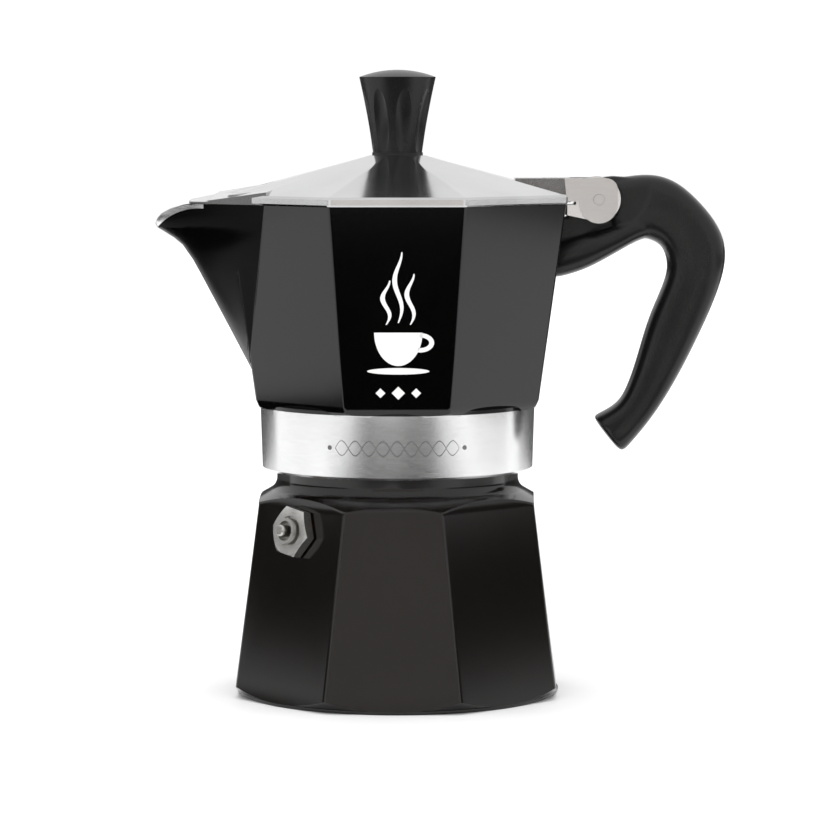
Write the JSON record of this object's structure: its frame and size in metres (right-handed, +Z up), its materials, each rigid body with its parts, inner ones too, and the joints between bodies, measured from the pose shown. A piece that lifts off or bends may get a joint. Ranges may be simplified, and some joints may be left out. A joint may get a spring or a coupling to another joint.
{
  "type": "moka pot",
  "caption": "Eight-sided stove-top coffee maker: screwed boiler and collector, hinged lid with fluted knob, spout, curved side handle and safety valve.",
  "frame": {"origin": "centre of the boiler's base, on the pot's axis", "axes": "+Z up along the pot's axis; -X towards the spout; +X towards the handle; -Y is the front flat"},
  "size_m": [0.1509, 0.0886, 0.1648],
  "materials": {
    "boiler_paint": "gloss black coat",
    "collector_paint": "gloss black coat, bare band",
    "valve_metal": "nickelled",
    "washer_fibre": "matt",
    "valve_pin": "satin",
    "spring_steel": "satin",
    "spun_aluminium": "satin",
    "rubber": "matt",
    "pin_steel": "satin",
    "black_plastic": "satin",
    "lid_metal": "satin polish"
  },
  "bodies": {
    "boiler": {"boiler": "boiler_paint", "valve_body": "valve_metal", "valve_washer": "washer_fibre", "valve_seat": "valve_metal", "valve_spring": "spring_steel"},
    "valve_pin": {"valve_pin": "valve_pin"},
    "funnel": {"funnel": "spun_aluminium", "funnel_plate": "spun_aluminium"},
    "gasket": {"gasket": "rubber"},
    "filter_plate": {"filter_plate": "spun_aluminium"},
    "collector": {"collector": "collector_paint", "column": "spun_aluminium", "column_cap": "spun_aluminium", "hinge_pin": "pin_steel", "handle": "black_plastic"},
    "lid": {"lid": "lid_metal", "knob_collar": "black_plastic", "knob": "black_plastic", "knob_screw": "pin_steel", "screw_washer": "pin_steel"}
  },
  "joints": [
    {"name": "valve_travel", "type": "slide", "parent": "boiler", "child": "valve_pin", "axis": [-0.7172, -0.6782, 0.1602], "range_m": [0, 0.0012], "stiffness_N_per_m": 500, "springref_m": -0.0015},
    {"name": "funnel_lift", "type": "slide", "parent": "boiler", "child": "funnel", "axis": [0, 0, 1], "range_m": [0, 0.07]},
    {"name": "screw_rise", "type": "slide", "parent": "funnel", "child": "gasket", "axis": [0, 0, 1], "range_m": [0, 0.005]},
    {"name": "unscrew", "type": "hinge", "parent": "gasket", "child": "filter_plate", "pos_m": [0, 0, 0.075], "axis": [0, 0, 1], "range_deg": [0, 720]},
    {"name": "lift_off", "type": "slide", "parent": "filter_plate", "child": "collector", "axis": [0, 0, 1], "range_m": [0, 0.04]},
    {"name": "lid_hinge", "type": "hinge", "parent": "collector", "child": "lid", "pos_m": [0.05285, 0, 0.1308], "axis": [0, 1, 0], "range_deg": [0, 95]}
  ],
  "couplings": [
    {"joint": "screw_rise", "follows": "unscrew", "m_per_rad": 0.00039789}
  ]
}
